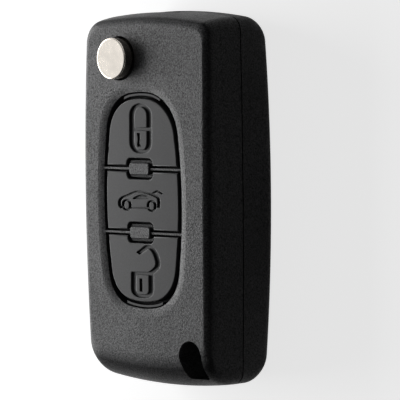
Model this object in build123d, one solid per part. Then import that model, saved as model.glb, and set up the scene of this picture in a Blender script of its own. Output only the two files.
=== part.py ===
"""Folding key fob shell: a two-part moulded case with three keys, a push button and a swing-out blade.

The fob lies on its rear face. +X runs across it, +Y towards the end with the button, +Z out of the front.
The origin is at the middle of the rear face. All sizes are in millimetres.
"""

from build123d import *
import math
import os

# Case, outside
case_width = 38.0
case_length = 76.0
case_depth = 18.0
parting_z = 9.0
# How far each side stands in from half the width: at the head end, in the middle and at the tail end
right_in_parting = (0.0, -0.1, 0.7)
right_in_front = (0.4, 0.95, 1.3)
right_in_rear = (1.2, -0.05, 2.1)
left_in_parting = (1.15, -0.2, 0.8)
left_draft = 0.35
# How far each end stands in from half the length: at the left, in the middle and at the right
head_end_in = (1.05, -0.2, 1.3)
tail_end_in = (1.8, 0.2, 1.2)
# Corner radii: upper right, upper left, lower left, lower right, and how fast they shrink inwards
corner_radii = (3.0, 4.6, 3.7, 2.8)
corner_shrink = 0.4
front_edge_radius = 1.6
rear_edge_radius = 1.7
head_lean = 1.4
head_edge_radius = 1.4
tail_crown_radius = 7.0
rear_head_radius = 5.3
rear_tail_radius = 6.1
seam_width = 0.3
seam_depth = 0.2

# Case, inside
front_wall = 1.8
rear_wall = 1.8
front_side_wall = 2.2
bay_right_wall = 4.6
bay_blade_wall = 1.6
bay_end_wall = 3.7
bay_front_tail_wall = 5.2
bay_corner_radius = 1.2
bay_head_corner_radius = 3.5
lip_width = 1.5
lip_height = 1.4
lip_clearance = 0.1
lip_chamfer = 0.2
bead_spread = 24.0
bead_length = 9.0
bead_radius = 0.35
bead_clearance = 0.08

# Pivot and swinging head
pivot_side_inset = 11.9
pivot_end_inset = 9.2
swing_angle = 180.0
hub_radius = 7.5
hub_end_gap = 0.3
hub_top_gap = 0.1
hub_running_clearance = 0.08
chamber_clearance = 0.35
chamber_floor = 0.8
chamber_roof = 2.7
well_wall = 1.5
arm_reach = 8.9
arm_thickness = 5.2
arm_flank_angle = 35.0
arm_side_clearance = 0.25
arm_end_clearance = 0.4
chamber_edge_angle = 33.0
blade_bore_radius = 4.38
core_counterbore_radius = 5.8
core_counterbore_depth = 3.0

# Blade
blade_width = 9.0
blade_thickness = 3.0
blade_offset = 6.4
blade_tip_end_inset = 11.6
blade_socket_depth = 2.5
blade_socket_clearance = 0.02
blade_groove_low = 1.0
blade_groove_lip = 0.45
blade_groove_depth = 1.2
blade_groove_start = 6.6
blade_groove_run_in = 5.0
blade_tip_chamfer = 0.4
blade_socket_wall = 0.7
blade_socket_flank = 1.0
tang_width = 2.4
tang_centre_from_pivot = 4.9
tang_end_below_pivot = 3.0
blade_pin_radius = 0.75
blade_pin_clearance = 0.01
slot_clearance = 0.3
slot_side_clearance = 0.5
slot_tip_clearance = 0.8
bed_rib_count = 5
bed_rib_width = 1.2
bed_end_wall = 1.5
bed_outer_wall = 2.0
bed_inner_wall = 0.5
bed_floor = 0.4

# Release button
cap_radius = 4.2
cap_stand_out = 2.4
cap_skin = 0.48
cap_top = 0.7
cap_edge_radius = 0.3
button_hole_radius = 4.55
button_travel = 1.5
core_flange_radius = 5.7
core_flange_thickness = 1.3
core_skirt_depth = 4.3
core_skirt_wall = 0.7
core_clearance = 0.08
core_roof = 0.8

# Spring and the cup it stands in
cup_wall = 0.7
cup_height = 3.6
cup_base_radius = 6.5
cup_seat_clearance = 0.02
cup_foot_play = 1.0
cup_base_thickness = 0.6
cup_gap_start = 230.0
cup_gap_end = 310.0
cup_foot_start = 305.0
cup_foot_end = 340.0
post_length = 5.0
post_width = 2.4
post_height = 2.6
post_slot = 0.8
spring_wire = 0.7
spring_mean_radius = 3.22
spring_turns = 7.5
spring_gap = 0.05

# Keypad
key_names = ("key_lock", "key_boot", "key_unlock")
oval_x = -1.12
oval_half_width = 11.5
oval_end_inset = 15.95
oval_side_bow = 2.0
oval_end_bow = 2.0
oval_corner_radii = (9.5, 8.3, 7.5, 8.3)
dish_border = 1.6
dish_outer_slope = 4.0
dish_inner_slope = 20.0
bar_upper_y = 6.4
bar_lower_y = -6.6
bar_width = 0.4
bar_height = 1.1
bar_gap = 0.38
nub_x = -1.8
nub_length = 5.9
nub_width = 2.4
nub_edge_radius = 0.25
nub_stand_out = 0.3
nub_base_margin = 0.5
nub_base_height = 0.7
nub_corner = 0.6
notch_length = 7.55
notch_width = 4.2
key_gap = 0.85
key_end_gap = 1.35
key_proud = 0.1
key_flange_margin = 0.3
key_flange_thickness = 0.6
key_travel = 0.6
key_edge_radius = 0.3
pip_radius = 1.5
pip_height = 0.7
mat_border = 1.4
mat_thickness = 0.75
mat_gap = 0.05
mat_key_clearance = 0.12
mat_bead_gap = 0.35
mat_bead_width = 0.4
mat_bead_length = 10.5
mat_bead_below_rim = 0.2
keypad_bay_margin = 0.2
keypad_bay_room = 0.2

# Key ring corner
ring_hole_side_inset = 6.8
ring_hole_width = 4.9
ring_hole_end_wall = 3.3
ring_hole_length = 6.5
ring_hole_corner = 0.8
ring_wall_radius = 7.05
ring_wall_fillet = 2.4
ring_slot_side_inset = 6.7
ring_slot_width = 6.45
ring_slot_slant = 14.0
ring_slot_length = 7.9
ring_slot_end_wall = 2.2
pry_width = 12.7
pry_depth = 1.9
pry_height = 1.2

# Rear cover, inside details
shelf_radius = 15.6
shelf_height = 2.8
shelf_bay_gap = 7.3
chip_wall = 0.9
chip_wall_height = 3.4
chip_pocket_width = 6.3
chip_pocket_bottom_y = 16.2
chip_pocket_step_y = 20.6
rail_wall_gap = 1.4
rail_width = 2.35
rail_bottom_y = -11.6
rail_height = 3.2
rail_overlap = 1.0
board_rib_y = (8.6, -12.5)
board_rib_length = 4.65
board_rib_width = 0.8
board_rib_height = 4.2
board_slot_width = 0.9
board_slot_depth = 0.9
locating_peg_wall_gap = 1.0
locating_peg_y = -4.4
locating_peg_radius = 1.0
ejector_mark_xy = ((-0.9, -6.3), (4.6, -25.2))
ejector_mark_radius = 1.3
ejector_mark_depth = 0.15

# Round mark on the rear face
mark_centre_y = 10.7
mark_outer_radius = 11.0
mark_inner_radius = 10.3
mark_depth = 0.35

# Sizes that follow from the ones above
half_width = case_width / 2
half_length = case_length / 2
tail_y = tail_end_in[1] - half_length
oval_half_length = half_length - oval_end_inset
pivot_x = pivot_side_inset - half_width
pivot_y = half_length - pivot_end_inset
blade_x = pivot_x - blade_offset
blade_inner_x = blade_x + blade_width / 2
blade_outer_x = blade_x - blade_width / 2
blade_tip_y = blade_tip_end_inset - half_length
arm_end_y = pivot_y - arm_reach
chamber_radius = hub_radius + chamber_clearance
arm_corner_radius = math.hypot(blade_offset + blade_width / 2, arm_reach)
sweep_radius = arm_corner_radius + arm_end_clearance
chamber_low_z = parting_z - arm_thickness / 2 - arm_side_clearance
chamber_high_z = parting_z + arm_thickness / 2 + arm_side_clearance
slot_low_z = parting_z - blade_thickness / 2 - slot_clearance
slot_high_z = parting_z + blade_thickness / 2 + slot_clearance
slot_inner_x = blade_inner_x + slot_side_clearance
slot_end_y = blade_tip_y - slot_tip_clearance
bay_right_x = half_width - bay_right_wall
bay_left_x = slot_inner_x + bay_blade_wall
bay_end_y = half_length - bay_end_wall
ring_hole_x = half_width - ring_hole_side_inset
ring_hole_bottom_y = ring_hole_end_wall - half_length
ring_hole_top_y = ring_hole_bottom_y + ring_hole_length
chamber_bottom_z = rear_wall + chamber_floor
chamber_top_z = case_depth - chamber_roof
hub_low_z = chamber_bottom_z + hub_end_gap
hub_high_z = chamber_top_z - hub_top_gap
core_flange_low_z = hub_high_z - core_flange_thickness
cup_radius = blade_bore_radius - hub_running_clearance
dish_angles = (math.radians(dish_outer_slope), math.radians(dish_inner_slope))
dish_radius = dish_border / (math.sin(dish_angles[1]) - math.sin(dish_angles[0]))
rim_z = case_depth - dish_radius * (math.cos(dish_angles[0]) - math.cos(dish_angles[1]))
front_inner_z = case_depth - front_wall
mat_top_z = front_inner_z - mat_gap
mat_low_z = mat_top_z - mat_thickness
key_top_z = rim_z + key_proud
key_flange_high_z = mat_low_z - mat_gap
key_flange_low_z = key_flange_high_z - key_flange_thickness
pip_low_z = key_flange_low_z - pip_height
keypad_bay_low_z = pip_low_z - key_travel - keypad_bay_room
beyond = 5.0


def bowed_outline(right, left, top, bottom, radii, z=0.0):
    """Four-sided outline with gently bowed sides and rounded corners.

    right and left are the sides' x at the head end, in the middle and at the tail end. top and bottom are
    the ends' y at the left, in the middle and at the right. radii are the corner radii at the upper right,
    upper left, lower left and lower right.
    """
    mid_x = (left[1] + right[1]) / 2
    mid_y = (top[1] + bottom[1]) / 2
    upper_right, upper_left = (right[0], top[2]), (left[0], top[0])
    lower_left, lower_right = (left[2], bottom[0]), (right[2], bottom[2])
    edges = [
        Edge.make_three_point_arc((*lower_right, z), (right[1], mid_y, z), (*upper_right, z)),
        Edge.make_three_point_arc((*upper_right, z), (mid_x, top[1], z), (*upper_left, z)),
        Edge.make_three_point_arc((*upper_left, z), (left[1], mid_y, z), (*lower_left, z)),
        Edge.make_three_point_arc((*lower_left, z), (mid_x, bottom[1], z), (*lower_right, z)),
    ]
    outline = Sketch() + Face(Wire(edges))
    for (x, y), radius in zip((upper_right, upper_left, lower_left, lower_right), radii):
        corner = min(outline.vertices(), key=lambda v: (v.X - x) ** 2 + (v.Y - y) ** 2)
        outline = fillet(corner, radius)
    return outline


def round_in(radius, height_above_start):
    """How far a quarter round of this radius has come in at a height above its start."""
    rise = min(max(height_above_start, 0.0), radius)
    return radius - math.sqrt(radius * radius - rise * rise)


def case_section(z, right_face, share, side_in, head_in, tail_in):
    """Outline of the case at one height.

    right_face holds the right side's insets at the face that the section lies towards, and share says how
    far towards it. The last three values draw the sides, the head end and the tail end in further.
    """
    right = [half_width - side_in - p - (f - p) * share for p, f in zip(right_in_parting, right_face)]
    left = [side_in + p + left_draft * share - half_width for p in left_in_parting]
    top = [half_length - head_in - p for p in head_end_in]
    bottom = [tail_in + p - half_length for p in tail_end_in]
    shrink = corner_shrink * (left_draft * share + side_in)
    return bowed_outline(right, left, top, bottom, [radius - shrink for radius in corner_radii], z)


def section_shares(radius, depth):
    """Heights, as distances from the parting line, at which the case is drawn."""
    wall = depth - radius
    shares = (0.0, 0.08, 0.19, 0.34, 0.5, 0.66, 0.82)
    heights = [wall * share for share in shares]
    heights += [wall + radius * math.sin(math.radians(angle)) for angle in (0, 22.5, 45, 67.5, 90)]
    return heights


def front_block():
    """Outside form of the front half: flat front, leaning head end and deeply rounded tail end."""
    depth = case_depth - parting_z
    sections = []
    for height in section_shares(front_edge_radius, depth):
        share = height / depth
        side_in = round_in(front_edge_radius, height - depth + front_edge_radius)
        head_in = head_lean * share**2 + round_in(head_edge_radius, height - depth + head_edge_radius)
        tail_in = round_in(tail_crown_radius, height - depth + tail_crown_radius)
        sections.append(case_section(parting_z + height, right_in_front, share, side_in, head_in, tail_in))
    return loft(sections)


def rear_block():
    """Outside form of the rear half, rounded at both ends."""
    sections = []
    for height in section_shares(rear_edge_radius, parting_z):
        share = height / parting_z
        side_in = round_in(rear_edge_radius, height - parting_z + rear_edge_radius)
        head_in = round_in(rear_head_radius, height - parting_z + rear_head_radius)
        tail_in = round_in(rear_tail_radius, height - parting_z + rear_tail_radius)
        sections.append(case_section(parting_z - height, right_in_rear, share, side_in, head_in, tail_in))
    return loft(sections)


def prism(sketch, low_z, high_z):
    """Straight solid on a flat sketch, between two heights."""
    return extrude(Pos(0, 0, low_z) * sketch, high_z - low_z)


def rect(x_low, x_high, y_low, y_high):
    """Flat rectangle given by its sides."""
    centre = Pos((x_low + x_high) / 2, (y_low + y_high) / 2)
    return centre * Rectangle(x_high - x_low, y_high - y_low)


def box(x_low, x_high, y_low, y_high, z_low, z_high):
    """Solid box given by its faces."""
    return prism(rect(x_low, x_high, y_low, y_high), z_low, z_high)


def at_pivot(x=0.0, y=0.0, z=0.0):
    """Place measured from the pivot."""
    return Pos(pivot_x + x, pivot_y + y, z)


def round_bar(radius, low_z, high_z):
    """Cylinder on the pivot's axis."""
    return at_pivot() * prism(Circle(radius), low_z, high_z)


def ring(outer, inner, low_z, high_z):
    """Tube on the pivot's axis."""
    return at_pivot() * prism(Circle(outer) - Circle(inner), low_z, high_z)


def wedge(radius, start_angle, end_angle):
    """Flat sector of a circle, centred on the origin."""
    steps = math.ceil((end_angle - start_angle) / 45.0)
    reach = radius / math.cos(math.radians((end_angle - start_angle) / steps / 2)) + beyond
    angles = [start_angle + (end_angle - start_angle) * i / steps for i in range(steps + 1)]
    points = [(0.0, 0.0)]
    points += [(reach * math.cos(math.radians(a)), reach * math.sin(math.radians(a))) for a in angles]
    return Circle(radius) & make_face(Polyline(points, close=True))


def chamber_plan(margin=0.0):
    """Plan of the space that the head and the blade's root sweep, grown by a margin."""
    edge = chamber_edge_angle
    shift_x = margin * math.sin(math.radians(edge))
    shift_y = -margin * math.cos(math.radians(edge))
    swept = Pos(shift_x, shift_y) * wedge(sweep_radius + margin, edge, edge + swing_angle)
    root = rect(
        -blade_offset - blade_width / 2 - beyond,
        blade_width / 2 - blade_offset + slot_side_clearance + margin,
        -arm_reach - arm_end_clearance - margin,
        0.0,
    )
    return at_pivot() * (Circle(chamber_radius + margin) + swept + root)


def blade_slot_plan(margin=0.0):
    """Plan of the slot that the folded blade lies in, open to the side of the case."""
    return rect(-half_width - beyond, slot_inner_x + margin, slot_end_y - margin, pivot_y)


def ring_corner_plan(radius):
    """Round of the wall that keeps the key ring corner apart from the bay."""
    centre_y = (ring_hole_top_y + ring_hole_bottom_y) / 2
    return Pos(ring_hole_x, centre_y) * Circle(radius)


def bay_plan():
    """Plan of the compartment for the circuit board, inside the sealing lip."""
    plan = rect(bay_left_x, bay_right_x, -bay_end_y, bay_end_y)
    plan -= chamber_plan(lip_width)
    plan -= ring_corner_plan(ring_wall_radius)
    head_corner = plan.vertices().sort_by(Axis.Y)[-2:].sort_by(Axis.X)[-1]
    plan = fillet(head_corner, bay_head_corner_radius)
    tail_corners = [v for v in plan.vertices() if v.Y < 0.0]
    ring_corners = [v for v in tail_corners if v.X > 0.0]
    plan = fillet(ring_corners, ring_wall_fillet)
    tail_left = plan.vertices().sort_by(Axis.Y)[:2].sort_by(Axis.X)[0]
    return fillet(tail_left, bay_corner_radius)


def oval_plan(grow=0.0, z=0.0, shorten=0.0):
    """Keypad opening's outline, grown or shrunk by an even margin, and shortened further at both ends."""
    side, end = oval_half_width + grow, oval_half_length + grow - shorten
    bowed_side, bowed_end = side - oval_side_bow, end - oval_end_bow
    return bowed_outline(
        [oval_x + x for x in (bowed_side, side, bowed_side)],
        [oval_x - x for x in (bowed_side, side, bowed_side)],
        (bowed_end, end, bowed_end),
        (-bowed_end, -end, -bowed_end),
        [radius + grow for radius in oval_corner_radii],
        z,
    )


def dish():
    """Space of the dish round the keypad: its slope rolls over the edge and gets steeper inwards."""
    outer, inner = dish_angles
    past = (inner - outer) / 5
    sections = []
    for step in range(7):
        angle = inner + past - step * (inner + past) / 6
        fall = dish_radius * (math.cos(outer) - math.cos(angle))
        grow = dish_border - dish_radius * (math.sin(angle) - math.sin(outer))
        sections.append(oval_plan(grow, case_depth - fall))
    return loft(sections)


def lip_beads(radius):
    """Snap beads along the lip's outer side, as solids to add or to cut their grooves with."""
    z = parting_z + lip_height / 2
    beads = []
    side_x = bay_right_x + lip_width
    for y in (-bead_spread / 2, bead_spread / 2):
        bead = Pos(side_x, y, z) * Rot(90, 0, 0) * Cylinder(radius, bead_length)
        beads.append(bead)
    tail = Pos(0.0, -bay_end_y - lip_width, z) * Rot(0, 90, 0) * Cylinder(radius, bead_length)
    beads.append(tail)
    return Part() + beads


def seam():
    """Fine groove that runs round the case where its halves meet."""
    side, end = half_width + beyond, half_length + beyond
    border = rect(-side, side, -end, end)
    border -= case_section(0.0, right_in_front, 0.0, seam_depth, seam_depth, seam_depth)
    return prism(border, parting_z - seam_width / 2, parting_z + seam_width / 2)


def make_rear_cover():
    """Rear half: floor, walls, sealing lip, head well, blade bed, pocket, ribs and key ring hole."""
    bay = bay_plan()
    lip = offset(bay, lip_width) - bay
    cover = rear_block()
    cover -= seam()
    cover -= prism(bay, rear_wall, parting_z + beyond)
    lip_ring = prism(lip, parting_z, parting_z + lip_height)
    cover += chamfer(lip_ring.faces().sort_by(Axis.Z)[-1].edges(), lip_chamfer)
    cover += lip_beads(bead_radius)
    # Head chamber, and the slot for the blade
    cover -= prism(chamber_plan(), chamber_low_z, case_depth)
    cover -= at_pivot() * prism(Circle(chamber_radius), chamber_bottom_z, case_depth)
    cover -= prism(blade_slot_plan(), slot_low_z, case_depth)
    # Seat of the spring cup
    seat = Circle(cup_radius + cup_seat_clearance)
    seat += wedge(cup_base_radius, cup_foot_start - cup_foot_play, cup_foot_end + cup_foot_play)
    cover -= at_pivot() * prism(seat, chamber_bottom_z - cup_base_thickness, chamber_bottom_z + beyond)
    # Key ring hole and the nail recess at the tail end
    hole = rect(
        ring_hole_x - ring_hole_width / 2,
        ring_hole_x + ring_hole_width / 2,
        ring_hole_bottom_y,
        ring_hole_top_y,
    )
    hole = fillet(hole.vertices().sort_by(Axis.Y)[:2], ring_hole_corner)
    hole = fillet(hole.vertices().sort_by(Axis.Y)[-2:], ring_hole_width / 2 - 0.01)
    cover -= prism(hole, -1, case_depth)
    pry_radius = (pry_width**2 / 4 + pry_depth**2) / (2 * pry_depth)
    pry = Pos(0, tail_y + pry_depth - pry_radius) * Circle(pry_radius)
    cover -= prism(pry, parting_z - pry_height, case_depth)
    # Raised shelf round the head, chip pocket, rail, ribs and peg in the bay
    shelf_right_x = bay_right_x - shelf_bay_gap
    chip_pocket_left_x = bay_right_x - chip_pocket_width
    rail_left_x = bay_left_x + rail_wall_gap
    board_rib_left_x = bay_right_x - board_rib_length
    shelf = at_pivot() * Circle(shelf_radius)
    shelf = shelf & bay & rect(-half_width, shelf_right_x, -half_length, half_length)
    cover += prism(shelf, rear_wall, rear_wall + shelf_height)
    low_y, step_y = chip_pocket_bottom_y, chip_pocket_step_y
    pocket = rect(chip_pocket_left_x, chip_pocket_left_x + chip_wall, low_y, step_y)
    pocket += rect(chip_pocket_left_x, bay_right_x, low_y - chip_wall, low_y)
    pocket += rect(shelf_right_x - chip_wall, chip_pocket_left_x + chip_wall, step_y - chip_wall, step_y)
    cover += prism(pocket, rear_wall, rear_wall + chip_wall_height)
    rail = rect(rail_left_x, rail_left_x + rail_width, rail_bottom_y, pivot_y - shelf_radius + rail_overlap)
    cover += prism(rail, rear_wall, rear_wall + rail_height)
    for y in board_rib_y:
        rib = rect(board_rib_left_x, bay_right_x, y - board_rib_width / 2, y + board_rib_width / 2)
        cover += prism(rib, rear_wall, rear_wall + board_rib_height)
    cover -= box(
        bay_right_x - board_slot_width,
        bay_right_x,
        board_rib_y[1] + board_rib_width / 2,
        board_rib_y[0] - board_rib_width / 2,
        rear_wall - board_slot_depth,
        rear_wall + 1,
    )
    peg = Pos(bay_right_x - locating_peg_wall_gap, locating_peg_y) * Circle(locating_peg_radius)
    cover += prism(peg, rear_wall - board_slot_depth, rear_wall + board_rib_height)
    ejector_mark = prism(Circle(ejector_mark_radius), rear_wall - ejector_mark_depth, rear_wall + beyond)
    for x, y in ejector_mark_xy:
        cover -= Pos(x, y) * ejector_mark
    # Blade bed: hollow below the slot, crossed by ribs
    cover -= blade_bed_hollow()
    # Round mark on the rear face
    mark = Pos(0, mark_centre_y) * (Circle(mark_outer_radius) - Circle(mark_inner_radius))
    cover -= prism(mark, -1, mark_depth)
    return cover


def blade_bed_hollow():
    """Pockets moulded out of the blade bed, which leave ribs across it."""
    low_y = slot_end_y + bed_end_wall
    high_y = arm_end_y - arm_end_clearance - bed_end_wall
    low_x, high_x = blade_outer_x + bed_outer_wall, slot_inner_x - bed_inner_wall
    pitch = (high_y - low_y + bed_rib_width) / bed_rib_count
    pockets = []
    for i in range(bed_rib_count):
        start = low_y + i * pitch
        pockets.append(rect(low_x, high_x, start, start + pitch - bed_rib_width))
    return prism(Sketch() + pockets, rear_wall + bed_floor, slot_low_z + beyond)


def front_bay_plan():
    """Plan of the hollow in the front half, outside the walls of the head, blade and key ring."""
    plan = case_section(0.0, right_in_front, 1.0, front_side_wall, front_side_wall, front_side_wall)
    plan &= rect(-half_width, half_width, bay_front_tail_wall - half_length, bay_end_y)
    plan -= chamber_plan(well_wall)
    plan -= blade_slot_plan(lip_width)
    plan -= ring_corner_plan(ring_wall_radius - lip_width)
    faces = plan.faces().sort_by(SortBy.AREA)
    return Sketch() + faces[-1]


def make_front_cover():
    """Front half: keypad opening with its bars, button hole, head well, blade slot and key ring slot."""
    cover = front_block()
    cover -= seam()
    cover -= prism(front_bay_plan(), parting_z - 1, front_inner_z)
    # Step for the sealing lip
    step = offset(bay_plan(), lip_width + lip_clearance)
    cover -= prism(step, parting_z - 1, parting_z + lip_height + lip_clearance)
    cover -= lip_beads(bead_radius + bead_clearance)
    # Head chamber, well, button hole and blade slot
    cover -= prism(chamber_plan(), 0, chamber_high_z)
    cover -= round_bar(hub_radius + hub_running_clearance, 0, chamber_top_z)
    cover -= round_bar(button_hole_radius, 0, case_depth + beyond)
    cover -= prism(blade_slot_plan(), 0, slot_high_z)
    # Keypad bay behind the opening, the dish and the opening itself
    cover -= prism(oval_plan(mat_border + keypad_bay_margin), keypad_bay_low_z, front_inner_z)
    cover -= dish()
    cover -= prism(oval_plan(), front_inner_z - 1, case_depth)
    # Cross bars with their nubs
    bar_low_z = rim_z - bar_height
    for y in (bar_upper_y, bar_lower_y):
        bar = oval_plan(dish_border) & rect(-half_width, half_width, y - bar_width / 2, y + bar_width / 2)
        cover += prism(bar, bar_low_z, rim_z)
        base = Pos(nub_x, y) * RectangleRounded(
            nub_length + 2 * nub_base_margin,
            nub_width + 2 * nub_base_margin,
            nub_corner + nub_base_margin / 2,
        )
        cover += prism(base, bar_low_z, bar_low_z + nub_base_height)
        nub = Pos(nub_x, y) * RectangleRounded(nub_length, nub_width, nub_corner)
        nub = prism(nub, bar_low_z, rim_z + nub_stand_out)
        cover += fillet(nub.faces().sort_by(Axis.Z)[-1].edges(), nub_edge_radius)
    return cover - prism(ring_slot_plan(), 0, case_depth + beyond)


def ring_slot_plan():
    """Plan of the key ring slot: straight on its right, drawn in on its left, closed at the tail end."""
    radius = ring_slot_width / 2
    slant = math.radians(ring_slot_slant)
    low = radius - ring_slot_length
    left_x, left_y = -radius * math.cos(slant), -radius * math.sin(slant)
    points = [
        (0.0, 0.0),
        (left_x, left_y),
        (left_x + (left_y - low) * math.tan(slant), low),
        (radius, low),
        (radius, 0.0),
    ]
    plan = Circle(radius) + make_face(Polyline(points, close=True))
    plan = fillet(plan.vertices().sort_by(Axis.Y)[:2], ring_hole_corner)
    return Pos(half_width - ring_slot_side_inset, ring_slot_end_wall - half_length - low) * plan


def key_plan(name, grow=0.0):
    """Outline of one key, grown by a margin. From the head end down: lock, boot and unlock."""
    gap = bar_width / 2 + bar_gap
    spans = {
        "key_lock": (bar_upper_y + gap, half_length),
        "key_boot": (bar_lower_y + gap, bar_upper_y - gap),
        "key_unlock": (-half_length, bar_lower_y - gap),
    }
    low, high = spans[name]
    plan = oval_plan(grow - key_gap, shorten=key_end_gap - key_gap)
    plan &= rect(-half_width, half_width, low - grow, high + grow)
    for y in (bar_upper_y, bar_lower_y):
        corner = nub_corner + nub_base_margin - grow
        plan -= Pos(nub_x, y) * RectangleRounded(notch_length - 2 * grow, notch_width - 2 * grow, corner)
    return plan


def make_key(name):
    """One key: its pad, the flange bonded behind the mat and the pip that meets the switch."""
    plan = key_plan(name)
    pad = prism(plan, key_flange_high_z, key_top_z)
    pad = fillet(pad.faces().sort_by(Axis.Z)[-1].edges(), key_edge_radius)
    flange = prism(key_plan(name, key_flange_margin), key_flange_low_z, key_flange_high_z)
    centre = plan.center()
    pip = Pos(centre.X, centre.Y) * prism(Circle(pip_radius), pip_low_z, key_flange_low_z)
    return pad + flange + pip


def make_key_mat():
    """Rubber sheet behind the opening, with a hole for each key and a bead past the outer keys' ends."""
    sheet = oval_plan(mat_border)
    for name in key_names:
        sheet -= key_plan(name, mat_key_clearance)
    bead = oval_plan(-mat_bead_gap) - oval_plan(-mat_bead_gap - mat_bead_width)
    bead &= rect(oval_x - mat_bead_length / 2, oval_x + mat_bead_length / 2, -half_length, half_length)
    return prism(sheet, mat_low_z, mat_top_z) + prism(bead, mat_low_z, rim_z - mat_bead_below_rim)


def head_plan():
    """Plan of the head: a round hub and the arm that the blade's root sits in, folded."""
    angle = math.radians(180.0 + arm_flank_angle)
    points = [
        (-blade_offset - blade_width / 2, -arm_reach),
        (blade_width / 2 - blade_offset, -arm_reach),
        (blade_width / 2 - blade_offset, 0.0),
        (0.0, 0.0),
        (hub_radius * math.cos(angle), hub_radius * math.sin(angle)),
    ]
    return at_pivot() * make_face(Polyline(points, close=True))


def make_blade_head():
    """Head that turns between the covers and holds the blade."""
    head = round_bar(hub_radius, hub_low_z, hub_high_z)
    head += prism(head_plan(), parting_z - arm_thickness / 2, parting_z + arm_thickness / 2)
    head -= round_bar(blade_bore_radius, 0, case_depth)
    head -= round_bar(core_counterbore_radius, hub_high_z - core_counterbore_depth, case_depth)
    socket = offset(root_plan(), blade_socket_clearance, kind=Kind.INTERSECTION)
    head -= prism(socket, *blade_levels(blade_socket_clearance))
    head -= blade_pin_bar(blade_pin_radius + blade_pin_clearance)
    return head


def blade_levels(clearance=0.0):
    """Lower and upper face of the blade, or of its socket."""
    half = blade_thickness / 2 + clearance
    return parting_z - half, parting_z + half


def root_plan():
    """Plan of the blade's root: the part in the socket, cut back under the arm's flank, and the tang."""
    outer = blade_socket_flank - blade_offset - blade_width / 2
    inner = blade_width / 2 - blade_offset - blade_socket_wall
    low = -arm_reach
    high = low + blade_socket_depth
    points = [(outer, low), (inner, low), (inner, high), (outer + blade_socket_depth, high)]
    tang = rect(
        -tang_centre_from_pivot - tang_width / 2,
        tang_width / 2 - tang_centre_from_pivot,
        high,
        -tang_end_below_pivot,
    )
    return at_pivot() * (make_face(Polyline(points, close=True)) + tang)


def blade_pin_bar(radius):
    """Bar along the pin that holds the blade in the head."""
    y = arm_end_y + blade_socket_depth / 2
    half = arm_thickness / 2
    return Pos(blade_x, y) * prism(Circle(radius), parting_z - half, parting_z + half)


def blade_groove():
    """Milled groove along the blade's inner edge, from a run-in as round as the cutter to the tip."""
    floor_x = blade_inner_x - blade_groove_depth
    full_y = arm_end_y - blade_groove_start - blade_groove_run_in
    cutter = (blade_groove_run_in**2 + blade_groove_depth**2) / (2 * blade_groove_depth)
    run_in = Pos(floor_x + cutter, full_y) * Circle(cutter)
    run_in &= rect(floor_x, blade_inner_x + 1.0, full_y - 1.0, full_y + cutter)
    plan = run_in + rect(floor_x, blade_inner_x + 1.0, blade_tip_y - 1.0, full_y)
    low_z, high_z = blade_levels()
    return prism(plan, low_z + blade_groove_low, high_z - blade_groove_lip)


def make_key_blade():
    """Uncut blade with the milled groove along its edge, chamfered tip corners and its root."""
    plan = rect(blade_outer_x, blade_inner_x, blade_tip_y, arm_end_y)
    plan = chamfer(plan.vertices().sort_by(Axis.Y)[:2], blade_tip_chamfer)
    blade = prism(plan + root_plan(), *blade_levels())
    blade -= blade_pin_bar(blade_pin_radius + blade_pin_clearance)
    return blade - blade_groove()


def make_blade_pin():
    """Roll pin through the arm and the blade."""
    return blade_pin_bar(blade_pin_radius)


def make_spring_anchor():
    """Nickel cup in the rear half: base, split ring that the head turns on, foot and slotted post."""
    base_low_z = chamber_bottom_z - cup_base_thickness
    cup = round_bar(cup_radius, base_low_z, chamber_bottom_z)
    foot = wedge(cup_base_radius - hub_running_clearance, cup_foot_start, cup_foot_end)
    cup += at_pivot() * prism(foot, base_low_z, chamber_bottom_z)
    top_z = hub_low_z + cup_height
    cup += ring(cup_radius, cup_radius - cup_wall, base_low_z, top_z)
    gap = wedge(cup_radius + beyond, cup_gap_start, cup_gap_end)
    cup -= at_pivot() * prism(gap, chamber_bottom_z, top_z)
    post = Rectangle(post_length, post_width) - Rectangle(post_slot, post_width / 2)
    cup += at_pivot() * prism(post, chamber_bottom_z, chamber_bottom_z + post_height)
    return cup


def make_flip_spring():
    """Coil spring between the cup's floor and the core's roof."""
    low_z = chamber_bottom_z + spring_wire / 2 + spring_gap
    high_z = core_flange_low_z + core_roof_offset() - spring_wire / 2 - spring_gap
    height = high_z - low_z
    path = Helix(height / spring_turns, height, spring_mean_radius)
    start = path @ 0
    section = Plane(origin=start, x_dir=(0, 0, 1), z_dir=path % 0) * Circle(spring_wire / 2)
    return at_pivot(z=low_z) * sweep(section, path, is_frenet=True)


def core_roof_offset():
    """Height of the hollow's roof in the core, above the underside of its flange."""
    return core_flange_thickness - core_roof


def make_button_core():
    """Core under the cap: flange that stops under the case, skirt that slides in the head, and neck."""
    skirt_radius = blade_bore_radius - core_clearance
    core = round_bar(core_flange_radius, core_flange_low_z, hub_high_z)
    core += round_bar(skirt_radius, core_flange_low_z - core_skirt_depth, core_flange_low_z)
    core += round_bar(cap_radius - cap_skin, hub_high_z, case_depth + cap_stand_out - cap_top)
    roof_z = core_flange_low_z + core_roof_offset()
    core -= round_bar(skirt_radius - core_skirt_wall, 0, roof_z)
    return core


def make_release_button():
    """Chromed cap, drawn over the core's neck."""
    top_z = case_depth + cap_stand_out
    cap = round_bar(cap_radius, hub_high_z, top_z)
    cap = fillet(cap.faces().sort_by(Axis.Z)[-1].edges(), cap_edge_radius)
    cap -= round_bar(cap_radius - cap_skin, 0, top_z - cap_top)
    return cap


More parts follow.
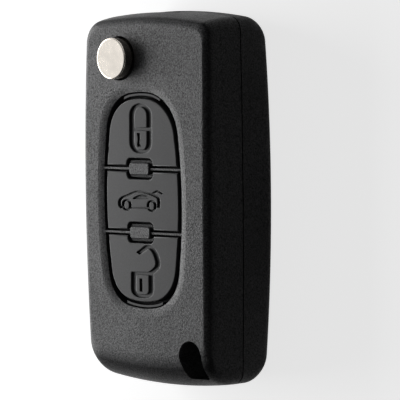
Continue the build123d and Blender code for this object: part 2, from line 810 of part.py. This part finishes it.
def make_parts():
    """All pieces of the fob by name."""
    pieces = {
        "front_cover": make_front_cover(),
        "rear_cover": make_rear_cover(),
        "key_mat": make_key_mat(),
        "blade_head": make_blade_head(),
        "key_blade": make_key_blade(),
        "blade_pin": make_blade_pin(),
        "spring_anchor": make_spring_anchor(),
        "flip_spring": make_flip_spring(),
        "button_core": make_button_core(),
        "release_button": make_release_button(),
    }
    for name in key_names:
        pieces[name] = make_key(name)
    return pieces


os.makedirs("parts", exist_ok=True)
for part_name, shape in make_parts().items():
    export_step(shape, f"parts/{part_name}.step")
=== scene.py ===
"""Folding key fob, closed, seen from its front and right side on a pale studio floor.

The CAD nodes keep their meshes and get their finishes here. The three keys are copies of their
nodes with the signs milled into them. All sizes in the classes are millimetres.
"""

from __future__ import annotations

import logging
import math
from dataclasses import dataclass, field
from enum import Enum
from typing import Union

import bmesh
import bpy
from mathutils import Matrix, Vector


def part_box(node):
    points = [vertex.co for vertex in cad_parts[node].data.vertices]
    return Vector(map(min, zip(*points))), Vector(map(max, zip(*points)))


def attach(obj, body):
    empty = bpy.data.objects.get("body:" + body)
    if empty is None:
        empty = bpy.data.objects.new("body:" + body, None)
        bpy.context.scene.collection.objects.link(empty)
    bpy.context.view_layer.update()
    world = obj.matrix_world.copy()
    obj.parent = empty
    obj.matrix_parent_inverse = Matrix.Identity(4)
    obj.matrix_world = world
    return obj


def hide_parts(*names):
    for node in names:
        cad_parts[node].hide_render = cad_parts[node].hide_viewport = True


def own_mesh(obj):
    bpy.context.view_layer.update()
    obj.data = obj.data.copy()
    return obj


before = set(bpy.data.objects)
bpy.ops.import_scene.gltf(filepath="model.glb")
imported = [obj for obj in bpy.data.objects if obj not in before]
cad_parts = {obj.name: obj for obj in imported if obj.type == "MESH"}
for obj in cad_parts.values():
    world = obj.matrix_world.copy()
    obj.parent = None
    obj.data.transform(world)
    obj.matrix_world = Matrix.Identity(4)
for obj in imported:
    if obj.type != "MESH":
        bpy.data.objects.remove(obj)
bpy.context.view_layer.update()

MM = 0.001
IMAGE_PIXELS = 400.0
NOISE_ROUGHNESS = 0.6
NOISE_MIDDLE = (0.3, 0.7)
log = logging.getLogger("key_fob")

Colour = tuple[float, float, float]
Triple = tuple[float, float, float]
Point = tuple[float, float]


# Finishes


class NodeBuilder:
    """Small helper that adds shader nodes to one material and links them."""

    def __init__(self, name: str) -> None:
        """Start an empty node material.

        Args:
            name: The material's name.
        """
        self.material = bpy.data.materials.new(name)
        self.material.use_nodes = True
        self.tree = self.material.node_tree
        self.shader = self.tree.nodes["Principled BSDF"]
        self.coords = self.add("ShaderNodeTexCoord").outputs["Object"]

    def add(self, kind: str, **values: object) -> bpy.types.Node:
        """Add a node and set its attributes.

        Args:
            kind: The node's type name.
            **values: Attributes of the node.

        Returns:
            The new node.
        """
        node = self.tree.nodes.new(kind)
        for name, value in values.items():
            setattr(node, name, value)
        return node

    def link(self, source: bpy.types.NodeSocket, target: bpy.types.NodeSocket) -> None:
        """Link an output to an input."""
        self.tree.links.new(source, target)

    def noise(
        self, size_mm: float, detail: float, stretch: Triple = (1.0, 1.0, 1.0)
    ) -> bpy.types.NodeSocket:
        """Add a noise pattern in object space.

        Args:
            size_mm: Size of its largest features.
            detail: Octaves of finer noise.
            stretch: How many times longer the features are along each axis.

        Returns:
            The noise's value output.
        """
        mapping = self.add("ShaderNodeMapping")
        mapping.inputs["Scale"].default_value = tuple(1.0 / s for s in stretch)
        self.link(self.coords, mapping.inputs["Vector"])
        noise = self.add("ShaderNodeTexNoise")
        noise.inputs["Scale"].default_value = 1.0 / (size_mm * MM)
        noise.inputs["Detail"].default_value = detail
        noise.inputs["Roughness"].default_value = NOISE_ROUGHNESS
        self.link(mapping.outputs["Vector"], noise.inputs["Vector"])
        return noise.outputs["Fac"]

    def spread(self, value: bpy.types.NodeSocket, low: float, high: float) -> bpy.types.NodeSocket:
        """Map a pattern's middle range onto a low and a high value.

        Args:
            value: The pattern.
            low: Result at the pattern's low end.
            high: Result at its high end.

        Returns:
            The mapped value.
        """
        ramp = self.add("ShaderNodeMapRange")
        ramp.inputs["From Min"].default_value = NOISE_MIDDLE[0]
        ramp.inputs["From Max"].default_value = NOISE_MIDDLE[1]
        ramp.inputs["To Min"].default_value = low
        ramp.inputs["To Max"].default_value = high
        self.link(value, ramp.inputs["Value"])
        return ramp.outputs["Result"]

    def blend(self, fac: bpy.types.NodeSocket, first: Colour, second: Colour) -> bpy.types.NodeSocket:
        """Blend two colours by a pattern.

        Args:
            fac: The pattern, from 0 to 1.
            first: Colour at 0.
            second: Colour at 1.

        Returns:
            The blended colour.
        """
        mix = self.add("ShaderNodeMix", data_type="RGBA")
        mix.inputs["A"].default_value = (*first, 1.0)
        mix.inputs["B"].default_value = (*second, 1.0)
        self.link(fac, mix.inputs["Factor"])
        return mix.outputs["Result"]

    def times(self, first: bpy.types.NodeSocket, second: bpy.types.NodeSocket) -> bpy.types.NodeSocket:
        """Multiply two values."""
        product = self.add("ShaderNodeMath", operation="MULTIPLY")
        self.link(first, product.inputs[0])
        self.link(second, product.inputs[1])
        return product.outputs["Value"]

    def by_height(self, low_mm: float, high_mm: float, below: float, above: float) -> bpy.types.NodeSocket:
        """Change a value softly between two heights of the part.

        Args:
            low_mm: Height at which the change starts.
            high_mm: Height at which it ends.
            below: Value below the change.
            above: Value above it.

        Returns:
            The value.
        """
        split = self.add("ShaderNodeSeparateXYZ")
        self.link(self.coords, split.inputs["Vector"])
        ramp = self.add("ShaderNodeMapRange", interpolation_type="SMOOTHSTEP")
        ramp.inputs["From Min"].default_value = low_mm * MM
        ramp.inputs["From Max"].default_value = high_mm * MM
        ramp.inputs["To Min"].default_value = below
        ramp.inputs["To Max"].default_value = above
        self.link(split.outputs["Z"], ramp.inputs["Value"])
        return ramp.outputs["Result"]

    def bump(self, height: bpy.types.NodeSocket, depth_mm: float) -> None:
        """Raise the surface by a pattern.

        Args:
            height: The pattern.
            depth_mm: Height of the relief.
        """
        bump = self.add("ShaderNodeBump")
        bump.inputs["Distance"].default_value = depth_mm * MM
        self.link(height, bump.inputs["Height"])
        self.link(bump.outputs["Normal"], self.shader.inputs["Normal"])


@dataclass(frozen=True)
class HandledFace:
    """Front face that fingers have rubbed shinier than the sides, between two heights."""

    low: float
    high: float
    specular: float


@dataclass(frozen=True)
class MouldedPlastic:
    """Moulded plastic or rubber with a fine eroded grain and a slight mottle."""

    name: str
    colour: Colour
    roughness: float
    grain_size: float
    grain_depth: float
    mottle: float
    specular: float = 0.5
    handled: Union[HandledFace, None] = None
    sparkle: float = 0.0
    sheen: float = 0.0
    sheen_roughness: float = 0.3
    grains_per_patch: float = 40.0
    patch_roughness: Point = (-0.04, 0.05)

    def build(self) -> bpy.types.Material:
        """Make the material.

        Returns:
            The material.
        """
        made = NodeBuilder(self.name)
        grain = made.noise(self.grain_size, detail=3.0)
        shine = made.spread(grain, 1.0 - self.sparkle, 1.0 + self.sparkle)
        handled = self.handled or HandledFace(0.0, 1.0, self.specular)
        level = made.by_height(handled.low, handled.high, self.specular, handled.specular)
        made.link(made.times(level, shine), made.shader.inputs["Specular IOR Level"])
        made.shader.inputs["Sheen Weight"].default_value = self.sheen
        made.shader.inputs["Sheen Roughness"].default_value = self.sheen_roughness
        patches = made.noise(self.grain_size * self.grains_per_patch, detail=2.0)
        dark = tuple(c * (1.0 - self.mottle) for c in self.colour)
        pale = tuple(c * (1.0 + self.mottle) for c in self.colour)
        speckle = made.blend(made.spread(grain, 0.0, 1.0), dark, pale)
        made.link(speckle, made.shader.inputs["Base Color"])
        rough = made.spread(patches, *(self.roughness + change for change in self.patch_roughness))
        made.link(rough, made.shader.inputs["Roughness"])
        made.bump(grain, self.grain_depth)
        return made.material


@dataclass(frozen=True)
class PlatedMetal:
    """Bright plated metal with faint rubbing marks."""

    name: str
    colour: Colour
    roughness: float
    rub_size: float
    rub_stretch: Triple
    rub_depth: float
    dull_share: float = 0.93
    roughness_shares: Point = (0.75, 1.35)

    def build(self) -> bpy.types.Material:
        """Make the material.

        Returns:
            The material.
        """
        made = NodeBuilder(self.name)
        made.shader.inputs["Metallic"].default_value = 1.0
        rubs = made.noise(self.rub_size, detail=4.0, stretch=self.rub_stretch)
        dull = tuple(c * self.dull_share for c in self.colour)
        rubbed = made.blend(made.spread(rubs, 0.0, 1.0), dull, self.colour)
        made.link(rubbed, made.shader.inputs["Base Color"])
        rough = made.spread(rubs, *(self.roughness * share for share in self.roughness_shares))
        made.link(rough, made.shader.inputs["Roughness"])
        made.bump(rubs, self.rub_depth)
        return made.material


class Finishes:
    """The fob's finishes, each made once."""

    def __init__(self) -> None:
        """Make every material."""
        rubbed = HandledFace(low=17.1, high=17.75, specular=0.35)
        bead = HandledFace(low=16.9, high=17.3, specular=0.4)
        self.case = MouldedPlastic(
            name="grained_case_plastic",
            colour=(0.035, 0.035, 0.036),
            roughness=0.42,
            grain_size=0.32,
            grain_depth=0.1,
            mottle=0.3,
            specular=0.08,
            handled=rubbed,
            sparkle=0.9,
            sheen=0.03,
        ).build()
        self.rear = MouldedPlastic(
            name="grained_rear_plastic",
            colour=(0.032, 0.032, 0.033),
            roughness=0.5,
            grain_size=0.32,
            grain_depth=0.1,
            mottle=0.3,
            specular=0.06,
            sparkle=0.9,
            sheen=0.03,
        ).build()
        self.key = MouldedPlastic(
            name="satin_key_plastic",
            colour=(0.035, 0.035, 0.036),
            roughness=0.4,
            grain_size=0.3,
            grain_depth=0.008,
            mottle=0.08,
            specular=0.32,
            sparkle=0.1,
        ).build()
        self.mat = MouldedPlastic(
            name="black_mat_rubber",
            colour=(0.02, 0.02, 0.021),
            roughness=0.5,
            grain_size=0.3,
            grain_depth=0.006,
            mottle=0.1,
            specular=0.05,
            handled=bead,
        ).build()
        self.core = MouldedPlastic(
            name="black_core_plastic",
            colour=(0.025, 0.025, 0.026),
            roughness=0.42,
            grain_size=0.4,
            grain_depth=0.003,
            mottle=0.1,
        ).build()
        self.chrome = PlatedMetal(
            name="warm_chrome_plate",
            colour=(1.0, 0.925, 0.825),
            roughness=0.1,
            rub_size=2.5,
            rub_stretch=(1.0, 1.0, 1.0),
            rub_depth=0.0003,
        ).build()
        self.blade = PlatedMetal(
            name="polished_blade_nickel",
            colour=(0.80, 0.76, 0.71),
            roughness=0.26,
            rub_size=0.1,
            rub_stretch=(1.0, 60.0, 1.0),
            rub_depth=0.001,
        ).build()
        self.spring = PlatedMetal(
            name="drawn_spring_wire",
            colour=(0.62, 0.61, 0.59),
            roughness=0.3,
            rub_size=0.2,
            rub_stretch=(1.0, 1.0, 6.0),
            rub_depth=0.001,
        ).build()


def dress(piece: bpy.types.Object, material: bpy.types.Material) -> None:
    """Give every face of a piece one material.

    Args:
        piece: The mesh object.
        material: Its finish.
    """
    piece.data.materials.clear()
    piece.data.materials.append(material)


# Milled signs


def corners_of(faces: list[bmesh.types.BMFace]) -> list[bmesh.types.BMVert]:
    """Corners of some faces, each once."""
    return list({corner for face in faces for corner in face.verts})


@dataclass(frozen=True)
class Stroke:
    """One groove of a sign, milled along a smooth path on the key's face.

    The signs are stretched across the key, so a groove that runs along the key is wider than one
    that runs across it.
    """

    points: tuple[Point, ...]
    width: float = 0.66
    depth: float = 0.45
    edge_round: float = 0.12
    edge_angles: tuple[float, ...] = (90.0, 60.0, 30.0, 0.0)
    stretch: float = 2.0
    steps: int = 3

    def path(self) -> list[Vector]:
        """Smooth the path through its points, in a frame that is squeezed across the key.

        Returns:
            The points of the smooth path.
        """
        knots = [Vector((x / self.stretch, y)) for x, y in self.points]
        knots = [2 * knots[0] - knots[1], *knots, 2 * knots[-1] - knots[-2]]
        smooth = []
        for before, start, end, after in zip(knots, knots[1:], knots[2:], knots[3:]):
            for step in range(self.steps):
                t = step / self.steps
                bend = (2 * before - 5 * start + 4 * end - after) * t * t
                twist = (3 * start - before - 3 * end + after) * t * t * t
                smooth.append(start + ((end - before) * t + bend + twist) / 2)
        return [*smooth, knots[-2]]

    def section(self, tool: bmesh.types.BMesh, over: float) -> list[bmesh.types.BMFace]:
        """Draw the groove's cross-section, with its upper edges rounded.

        Args:
            tool: The mesh that gets the section, as a face across the Y axis.
            over: How far the section stands above the key's face.

        Returns:
            A list of that one face.
        """
        half, radius = self.width / 2, self.edge_round
        wall = [(half, -self.depth)]
        for angle in self.edge_angles:
            turn = math.radians(angle)
            wall.append((half + radius * (1 - math.sin(turn)), radius * (math.cos(turn) - 1)))
        wall.append((half + radius, over))
        outline = wall + [(-x, z) for x, z in reversed(wall)]
        return [tool.faces.new([tool.verts.new((x * MM, 0.0, z * MM)) for x, z in outline])]

    def add_to(self, tool: bmesh.types.BMesh, top_z: float, over: float = 0.5) -> None:
        """Add the solid that the groove takes away.

        Args:
            tool: The mesh of the key's milling tool.
            top_z: Height of the key's face.
            over: How far the solid stands above it.
        """
        path = self.path()
        lead = self.section(tool, over)
        solid = []
        last = Matrix.Identity(4)
        for index, point in enumerate(path):
            ahead = path[min(index + 1, len(path) - 1)] - path[max(index - 1, 0)]
            heading = math.atan2(ahead.y, ahead.x) - math.radians(90.0)
            shift = Matrix.Translation(Vector((point.x, point.y, top_z)) * MM)
            place = shift @ Matrix.Rotation(heading, 4, "Z")
            if index:
                edges = list({edge for face in lead for edge in face.edges})
                region = lead + edges + corners_of(lead)
                grown = bmesh.ops.extrude_face_region(tool, geom=region)["geom"]
                lead = [part for part in grown if isinstance(part, bmesh.types.BMFace)]
            corners = corners_of(lead)
            bmesh.ops.transform(tool, matrix=place @ last.inverted(), verts=corners)
            solid += corners
            last = place
        bmesh.ops.scale(tool, vec=(self.stretch, 1.0, 1.0), verts=solid)


def wheel(x: float, y: float) -> tuple[Stroke, ...]:
    """Ring groove of a wheel, milled in two halves that overlap.

    Args:
        x: Centre across the key.
        y: Centre along the key.

    Returns:
        The two strokes.
    """
    half = ((0.1, 1.0), (-0.6, 0.85), (-1.0, 0.4), (-1.0, -0.4), (-0.6, -0.85), (0.1, -1.0))
    return tuple(
        Stroke(tuple((x + side * dx, y + dy) for dx, dy in half), 0.36, edge_round=0.08) for side in (1, -1)
    )


class KeySign(Enum):
    """The three keys: CAD node, body, name of the finished key, and the sign's grooves."""

    LOCK = (
        "key_lock",
        "lock",
        "lock_key_pad",
        (
            Stroke(
                (
                    (-1.2, 19.3), (-1.9, 19.25), (-2.75, 18.98), (-3.4, 18.4), (-3.8, 17.5), (-3.86, 15.5),
                    (-3.9, 13.5), (-3.92, 11.6), (-3.6, 10.75), (-2.9, 10.15), (-2.1, 9.93), (-1.3, 9.9),
                )
            ),
            Stroke(
                (
                    (-1.4, 19.3), (-0.5, 19.18), (0.3, 18.8), (0.95, 18.2), (1.24, 17.4), (1.22, 15.5),
                    (1.18, 13.5), (1.14, 11.6), (0.85, 10.75), (0.2, 10.15), (-0.6, 9.93), (-1.4, 9.9),
                )
            ),
            Stroke(((-3.8, 14.42), (1.2, 14.47)), 0.62),
            Stroke(((-1.95, 13.68), (-1.92, 13.1)), 0.44, edge_round=0.05),
            Stroke(((-1.98, 13.3), (-1.86, 12.4), (-2.05, 11.2)), 0.32, edge_round=0.05),
            Stroke(((-1.9, 11.4), (-1.8, 10.88)), 0.5, edge_round=0.05),
        ),
    )
    BOOT = (
        "key_boot",
        "boot",
        "boot_key_pad",
        (
            Stroke(
                (
                    (-7.2, -1.68), (-7.65, -1.48), (-7.93, -1.1), (-7.95, -0.6), (-7.8, -0.15),
                    (-7.4, 0.22), (-6.8, 0.53), (-5.6, 0.84), (-4.4, 1.27), (-2.96, 1.66),
                    (-1.9, 1.74), (-0.6, 1.68), (1.1, 1.4), (2.8, 0.92), (3.5, 0.6), (3.72, 0.1),
                    (3.7, -0.6), (3.6, -1.35),
                ),
                0.4,
                edge_round=0.08,
            ),
            *wheel(-5.78, -1.05),
            *wheel(1.63, -1.05),
            Stroke(((-4.7, -1.63), (0.6, -1.5)), 0.3, edge_round=0.08),
            Stroke(
                ((-3.85, 0.22), (-3.0, 0.62), (-1.9, 0.95), (-0.8, 1.05), (0.3, 0.9)),
                0.26,
                edge_round=0.06,
            ),
            Stroke(((-3.9, 0.3), (0.6, 0.46)), 0.26, edge_round=0.06),
            Stroke(((-2.9, 0.55), (0.4, 0.72)), 0.34, edge_round=0.06),
            Stroke(
                ((1.85, 1.34), (2.6, 1.74), (3.2, 1.98), (3.75, 1.9), (4.8, 1.5)),
                0.3,
                edge_round=0.08,
            ),
        ),
    )
    UNLOCK = (
        "key_unlock",
        "unlock",
        "unlock_key_pad",
        (
            Stroke(
                (
                    (-2.65, -10.88), (-1.1, -10.02), (-0.1, -9.46), (0.8, -9.45), (1.75, -9.93),
                    (2.5, -10.8), (2.98, -11.83), (3.18, -12.6), (2.9, -13.43), (1.9, -14.2),
                    (0.7, -14.85),
                )
            ),
            Stroke(((-4.72, -14.96), (-2.0, -14.92), (1.75, -14.84)), 0.6),
            Stroke(
                (
                    (-4.06, -14.8), (-4.1, -16.5), (-4.13, -18.2), (-3.8, -18.9), (-3.1, -19.35),
                    (-2.2, -19.5), (-1.3, -19.52),
                )
            ),
            Stroke(
                (
                    (1.1, -14.8), (1.08, -16.5), (1.04, -18.2), (0.75, -18.9), (0.1, -19.35),
                    (-0.7, -19.5), (-1.5, -19.52),
                )
            ),
            Stroke(((-1.88, -15.9), (-1.9, -18.57)), 0.42, edge_round=0.05),
        ),
    )


@dataclass
class Keypad:
    """The three keys with their milled signs, and the mat behind them."""

    finishes: Finishes
    sharp_angle: float = 32.0
    level_cosine: float = 0.9998
    merge_distance: float = 0.0005

    def build(self) -> None:
        """Dress the mat and make the keys."""
        dress(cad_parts["key_mat"], self.finishes.mat)
        log.info("key_mat dressed")
        for sign in KeySign:
            self.key(sign)

    def key(self, sign: KeySign) -> None:
        """Mill one key's sign into a copy of its node.

        Args:
            sign: Which key.
        """
        node, body, name, strokes = sign.value
        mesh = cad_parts[node].data.copy()
        mesh.name = name
        key = bpy.data.objects.new(name, mesh)
        bpy.context.scene.collection.objects.link(key)
        self.merge(mesh)
        tool = bmesh.new()
        for stroke in strokes:
            stroke.add_to(tool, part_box(node)[1].z / MM)
        self.cut(key, tool)
        self.shade(key.data)
        dress(key, self.finishes.key)
        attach(key, body)
        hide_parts(node)
        log.info("key %s has %d faces", name, len(key.data.polygons))

    def merge(self, mesh: bpy.types.Mesh) -> None:
        """Join a copied mesh's loose triangles into one skin.

        Args:
            mesh: The mesh to merge in place.
        """
        skin = bmesh.new()
        skin.from_mesh(mesh)
        bmesh.ops.remove_doubles(skin, verts=skin.verts, dist=self.merge_distance * MM)
        skin.to_mesh(mesh)
        skin.free()

    def shade(self, mesh: bpy.types.Mesh) -> None:
        """Shade a key smooth, with crisp grooves and a level face.

        Args:
            mesh: The mesh to shade in place.
        """
        skin = bmesh.new()
        skin.from_mesh(mesh)
        for face in skin.faces:
            face.smooth = True
        for edge in skin.edges:
            levels = {face.normal.z > self.level_cosine for face in edge.link_faces}
            edge.smooth = len(levels) < 2 and edge.calc_face_angle(0.0) < math.radians(self.sharp_angle)
        skin.to_mesh(mesh)
        skin.free()

    def cut(self, key: bpy.types.Object, tool: bmesh.types.BMesh) -> None:
        """Take the milling tool's solid away from a key.

        Args:
            key: The key.
            tool: The solid, which is freed.
        """
        bmesh.ops.recalc_face_normals(tool, faces=tool.faces)
        mesh = bpy.data.meshes.new("milling_tool")
        tool.to_mesh(mesh)
        tool.free()
        cutter = bpy.data.objects.new("milling_tool", mesh)
        bpy.context.scene.collection.objects.link(cutter)
        carve = key.modifiers.new("carve", "BOOLEAN")
        carve.operation = "DIFFERENCE"
        carve.solver = "EXACT"
        carve.use_self = True
        carve.object = cutter
        finished = key.evaluated_get(bpy.context.evaluated_depsgraph_get())
        carved = bpy.data.meshes.new_from_object(finished)
        key.modifiers.remove(carve)
        key.data = carved
        bpy.data.objects.remove(cutter)


@dataclass
class Case:
    """The two case halves."""

    finishes: Finishes

    def build(self) -> None:
        """Dress the halves."""
        dress(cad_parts["front_cover"], self.finishes.case)
        dress(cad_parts["rear_cover"], self.finishes.rear)
        log.info("case halves dressed")


@dataclass
class Mechanism:
    """The button, the swinging head with its blade, and the spring in its cup."""

    finishes: Finishes
    parts: dict[str, str] = field(
        default_factory=lambda: {
            "release_button": "chrome",
            "button_core": "core",
            "blade_head": "core",
            "key_blade": "blade",
            "blade_pin": "spring",
            "flip_spring": "spring",
            "spring_anchor": "spring",
        }
    )

    def build(self) -> None:
        """Dress each part."""
        for node, finish in self.parts.items():
            dress(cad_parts[node], getattr(self.finishes, finish))
            log.info("%s dressed in %s", node, finish)
        self.shorten_spring()

    def shorten_spring(self) -> None:
        """Give the coil spring its own copy of its mesh."""
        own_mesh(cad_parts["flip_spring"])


# Studio


@dataclass(frozen=True)
class BrightWall:
    """Soft-edged bright patch of the surroundings, seen in reflections.

    start and full are the cosines of the angles from its middle where it begins and where it is full.
    """

    direction: Triple
    start: float
    full: float
    strength: float


@dataclass
class Studio:
    """Camera at the photograph's angle, one soft lamp, a pale floor and white surroundings."""

    turn: float = 46.4
    tilt: float = 3.1
    roll: float = 0.9
    distance: float = 800.0
    pixels_per_mm: float = 4.9
    target: Triple = (0.0, 0.0, 9.0)
    target_pixel: Point = (177.4, 198.5)
    sensor: float = 36.0
    clip_near: float = 10.0
    clip_far: float = 20000.0
    lamp_offset: Triple = (-148.0, 9.0, 62.0)
    lamp_size: Point = (170.0, 90.0)
    lamp_power: float = 0.25
    floor_seen: Colour = (0.55, 0.55, 0.55)
    floor_bounce: Colour = (0.1, 0.1, 0.1)
    floor_glow: float = 0.74
    floor_half: float = 900.0
    floor_drop: float = 0.1
    floor_roughness: float = 0.9
    fill_strength: float = 0.06
    walls: tuple[BrightWall, ...] = (
        BrightWall((-0.9, 0.15, 0.41), 0.62, 0.88, 0.75),
        BrightWall((0.1, 0.62, 0.78), 0.72, 0.97, 0.3),
    )
    dark_strength: float = 0.03
    daylight: Colour = (0.97, 0.98, 1.0)

    def axes(self) -> tuple[Vector, Vector, Vector]:
        """Directions to the right and up in the picture, and back to the camera.

        Returns:
            The three unit vectors.
        """
        turn, tilt, roll = (math.radians(a) for a in (self.turn, self.tilt, self.roll))
        back = Vector((math.sin(turn) * math.cos(tilt), math.sin(tilt), math.cos(turn) * math.cos(tilt)))
        right = Vector((math.cos(turn), 0.0, -math.sin(turn)))
        up = back.cross(right)
        rolled_right = right * math.cos(roll) - up * math.sin(roll)
        rolled_up = right * math.sin(roll) + up * math.cos(roll)
        return rolled_right, rolled_up, back

    def camera(self) -> None:
        """Place the camera as the photograph's was."""
        right, up, back = self.axes()
        data = bpy.data.cameras.new("camera")
        data.sensor_width = self.sensor
        data.lens = self.sensor * self.distance * self.pixels_per_mm / IMAGE_PIXELS
        data.shift_x = (IMAGE_PIXELS / 2 - self.target_pixel[0]) / IMAGE_PIXELS
        data.shift_y = (self.target_pixel[1] - IMAGE_PIXELS / 2) / IMAGE_PIXELS
        data.clip_start, data.clip_end = self.clip_near * MM, self.clip_far * MM
        camera = bpy.data.objects.new("camera", data)
        place = Matrix((right, up, back)).transposed().to_4x4()
        place.translation = (Vector(self.target) + back * self.distance) * MM
        camera.matrix_world = place
        bpy.context.scene.collection.objects.link(camera)
        bpy.context.scene.camera = camera

    def lamp(self) -> None:
        """Add the soft lamp, which faces the fob's middle."""
        data = bpy.data.lights.new("key_lamp", "AREA")
        data.shape = "RECTANGLE"
        data.size, data.size_y = (length * MM for length in self.lamp_size)
        data.energy = self.lamp_power
        lamp = bpy.data.objects.new("key_lamp", data)
        place = Vector(self.lamp_offset)
        lamp.location = (Vector(self.target) + place) * MM
        lamp.rotation_mode = "QUATERNION"
        lamp.rotation_quaternion = place.to_track_quat("Z", "Y")
        bpy.context.scene.collection.objects.link(lamp)

    def background_rays(self, tree: bpy.types.NodeTree) -> bpy.types.NodeSocket:
        """Tell the rays that show the background from the ones that light the fob.

        Args:
            tree: The node tree that gets the nodes.

        Returns:
            An output that is 1 for camera, glossy and transmission rays, and 0 for the rest.
        """
        rays = tree.nodes.new("ShaderNodeLightPath")
        seen = rays.outputs["Is Camera Ray"]
        for name in ("Is Glossy Ray", "Is Transmission Ray"):
            either = tree.nodes.new("ShaderNodeMath")
            either.operation = "MAXIMUM"
            tree.links.new(seen, either.inputs[0])
            tree.links.new(rays.outputs[name], either.inputs[1])
            seen = either.outputs["Value"]
        return seen

    def floor(self) -> None:
        """Lay the pale floor under the fob."""
        sheet = bmesh.new()
        bmesh.ops.create_grid(
            sheet,
            x_segments=1,
            y_segments=1,
            size=self.floor_half * MM,
            matrix=Matrix.Translation((0.0, 0.0, -self.floor_drop * MM)),
        )
        mesh = bpy.data.meshes.new("floor")
        sheet.to_mesh(mesh)
        sheet.free()
        floor = bpy.data.objects.new("floor", mesh)
        bpy.context.scene.collection.objects.link(floor)
        made = NodeBuilder("pale_floor")
        seen = self.background_rays(made.tree)
        made.link(made.blend(seen, self.floor_bounce, self.floor_seen), made.shader.inputs["Base Color"])
        glow = made.add("ShaderNodeMath", operation="MULTIPLY")
        glow.inputs[1].default_value = self.floor_glow
        made.link(seen, glow.inputs[0])
        made.link(glow.outputs["Value"], made.shader.inputs["Emission Strength"])
        made.shader.inputs["Emission Color"].default_value = (1.0, 1.0, 1.0, 1.0)
        made.shader.inputs["Roughness"].default_value = self.floor_roughness
        made.shader.inputs["Specular IOR Level"].default_value = 0.0
        dress(floor, made.material)

    def world(self) -> None:
        """Surroundings: soft white walls for reflections, and a weak even fill for the rest."""
        world = bpy.data.worlds.new("surroundings")
        world.use_nodes = True
        tree = world.node_tree
        ray = tree.nodes.new("ShaderNodeTexCoord").outputs["Generated"]
        strength = tree.nodes.new("ShaderNodeMapRange")
        strength.inputs["To Min"].default_value = self.fill_strength
        tree.links.new(self.background_rays(tree), strength.inputs["Value"])
        total = None
        for wall in self.walls:
            facing = tree.nodes.new("ShaderNodeVectorMath")
            facing.operation = "DOT_PRODUCT"
            facing.inputs[1].default_value = wall.direction
            tree.links.new(ray, facing.inputs[0])
            glow = tree.nodes.new("ShaderNodeMapRange")
            glow.interpolation_type = "SMOOTHSTEP"
            glow.inputs["From Min"].default_value = wall.start
            glow.inputs["From Max"].default_value = wall.full
            glow.inputs["To Max"].default_value = wall.strength
            tree.links.new(facing.outputs["Value"], glow.inputs["Value"])
            added = tree.nodes.new("ShaderNodeMath")
            added.inputs[0].default_value = self.dark_strength
            if total:
                tree.links.new(total, added.inputs[0])
            tree.links.new(glow.outputs["Result"], added.inputs[1])
            total = added.outputs["Value"]
        tree.links.new(total, strength.inputs["To Max"])
        tree.links.new(strength.outputs["Result"], tree.nodes["Background"].inputs["Strength"])
        tree.nodes["Background"].inputs["Color"].default_value = (*self.daylight, 1.0)
        bpy.context.scene.world = world

    def build(self) -> None:
        """Set up the whole studio."""
        self.camera()
        self.lamp()
        self.floor()
        self.world()
        bpy.context.scene.view_settings.view_transform = "Standard"


def main() -> None:
    """Build the fob's pieces in order and set up the studio."""
    logging.basicConfig(level=logging.INFO)
    finishes = Finishes()
    Case(finishes).build()
    Mechanism(finishes).build()
    Keypad(finishes).build()
    Studio().build()


if __name__ == "__main__":
    main()
